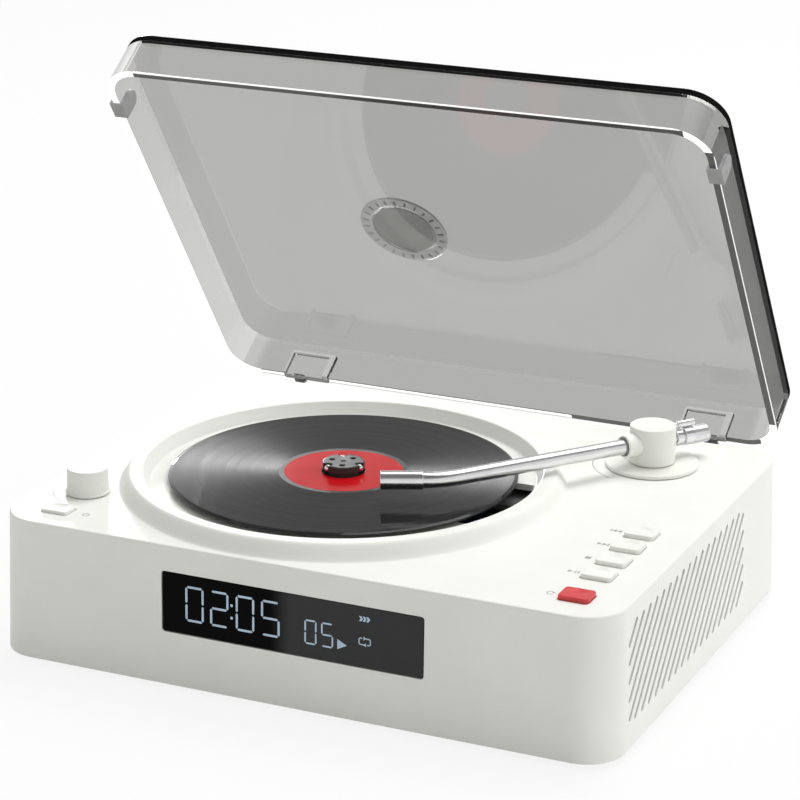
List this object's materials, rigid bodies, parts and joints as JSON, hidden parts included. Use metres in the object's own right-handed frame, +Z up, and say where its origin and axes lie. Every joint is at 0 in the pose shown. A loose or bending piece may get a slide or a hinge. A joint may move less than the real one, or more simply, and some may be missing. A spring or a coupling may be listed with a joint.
{
  "type": "turntable-styled cd player",
  "caption": "Top-loading disc player styled as a small turntable, with a hinged smoky dust cover, tonearm, front display, push buttons and slotted speaker sides.",
  "frame": {"origin": "centre of the whole object's footprint with the lid as stored, at the undersides of the feet", "axes": "+Z up, -Y out of the front with the display, +X to the right seen from the front"},
  "size_m": [0.2232, 0.1848, 0.1964],
  "materials": {
    "white_plastic": "satin white moulded plastic",
    "smoky_plastic": "smoky see-through plastic, polished",
    "grey_plastic": "grey moulded plastic",
    "dark_plastic": "black moulded plastic",
    "black_glass": "glossy black window",
    "black_disc": "glossy black disc with a red label",
    "red_plastic": "red moulded plastic",
    "chrome": "polished",
    "steel": "plain",
    "circuit_board": "green board",
    "black_rubber": "matt",
    "battery_wrap": "blue shrink wrap",
    "speaker_parts": "black frame, cone and magnet",
    "lens_glass": "clear"
  },
  "bodies": {
    "case": {"battery_pack": "battery_wrap", "bottom_cover": "dark_plastic", "button_board": "circuit_board", "case_screw_front_left": "steel", "case_screw_front_right": "steel", "case_screw_rear_left": "steel", "case_screw_rear_right": "steel", "control_board": "circuit_board", "damper_front": "black_rubber", "damper_rear_left": "black_rubber", "damper_rear_right": "black_rubber", "dc_inlet": "dark_plastic", "display_board": "circuit_board", "display_window": "black_glass", "foot_front_left": "black_rubber", "foot_front_right": "black_rubber", "foot_rear_left": "black_rubber", "foot_rear_right": "black_rubber", "guide_rod_front": "steel", "guide_rod_rear": "steel", "hinge_bracket_left": "dark_plastic", "hinge_bracket_right": "dark_plastic", "hinge_pin_left": "steel", "hinge_pin_right": "steel", "main_board": "circuit_board", "mechanism_chassis": "grey_plastic", "sled_motor": "steel", "speaker_left": "speaker_parts", "speaker_right": "speaker_parts", "spindle_motor": "steel", "tonearm_base": "white_plastic", "tonearm_switch": "dark_plastic", "top_case": "white_plastic", "volume_pot": "steel"},
    "lid": {"lid": "smoky_plastic", "lid_badge": "grey_plastic", "lid_bumper_left": "grey_plastic", "lid_bumper_right": "grey_plastic"},
    "disc_stack": {"spindle_hub": "grey_plastic", "hub_ball_1": "chrome", "hub_ball_2": "chrome", "hub_ball_3": "chrome", "disc": "black_disc"},
    "volume": {"volume_knob": "white_plastic", "volume_shaft": "steel"},
    "tonearm": {"tonearm_pillar": "white_plastic", "tonearm_tube": "chrome", "headshell": "chrome", "counterweight": "chrome", "trim_weight": "chrome"},
    "pickup": {"pickup_sled": "dark_plastic", "pickup_lens": "lens_glass"},
    "drive_screw": {"lead_screw": "steel"},
    "previous_button_body": {"previous_button": "white_plastic"},
    "next_button_body": {"next_button": "white_plastic"},
    "stop_button_body": {"stop_button": "white_plastic"},
    "play_pause_button_body": {"play_pause_button": "white_plastic"},
    "mode_button_body": {"mode_button": "red_plastic"},
    "power_button_body": {"power_button": "white_plastic"}
  },
  "joints": [
    {"name": "lid_hinge", "type": "hinge", "parent": "case", "child": "lid", "pos_m": [0, 0.07557, 0.0466], "axis": [-1, 0, 0], "range_deg": [-55.4, 4]},
    {"name": "disc_spin", "type": "hinge", "parent": "case", "child": "disc_stack", "pos_m": [-0.0188, -0.01173, 0.054], "axis": [0, 0, 1], "continuous": true},
    {"name": "volume_turn", "type": "hinge", "parent": "case", "child": "volume", "pos_m": [-0.0923, -0.05893, 0.0507], "axis": [0, 0, 1], "range_deg": [-140, 140]},
    {"name": "tonearm_swing", "type": "hinge", "parent": "case", "child": "tonearm", "pos_m": [0.07217, 0.04697, 0.0507], "axis": [0, 0, 1], "range_deg": [-2, 26]},
    {"name": "sled_travel", "type": "slide", "parent": "case", "child": "pickup", "axis": [1, 0, 0], "range_m": [0, 0.035]},
    {"name": "lead_screw_turn", "type": "hinge", "parent": "case", "child": "drive_screw", "pos_m": [0.0042, 0.01227, 0.04], "axis": [1, 0, 0], "range_deg": [0, 2520]},
    {"name": "previous_press", "type": "slide", "parent": "case", "child": "previous_button_body", "axis": [0, 0, -1], "range_m": [0, 0.0008], "stiffness_N_per_m": 300, "springref_m": -0.0008},
    {"name": "next_press", "type": "slide", "parent": "case", "child": "next_button_body", "axis": [0, 0, -1], "range_m": [0, 0.0008], "stiffness_N_per_m": 300, "springref_m": -0.0008},
    {"name": "stop_press", "type": "slide", "parent": "case", "child": "stop_button_body", "axis": [0, 0, -1], "range_m": [0, 0.0008], "stiffness_N_per_m": 300, "springref_m": -0.0008},
    {"name": "play_pause_press", "type": "slide", "parent": "case", "child": "play_pause_button_body", "axis": [0, 0, -1], "range_m": [0, 0.0008], "stiffness_N_per_m": 300, "springref_m": -0.0008},
    {"name": "mode_press", "type": "slide", "parent": "case", "child": "mode_button_body", "axis": [0, 0, -1], "range_m": [0, 0.0008], "stiffness_N_per_m": 300, "springref_m": -0.0008},
    {"name": "power_press", "type": "slide", "parent": "case", "child": "power_button_body", "axis": [0, 0, -1], "range_m": [0, 0.0008], "stiffness_N_per_m": 300, "springref_m": -0.0008}
  ],
  "couplings": [
    {"joint": "lead_screw_turn", "follows": "sled_travel", "rad_per_m": 1256.6}
  ]
}
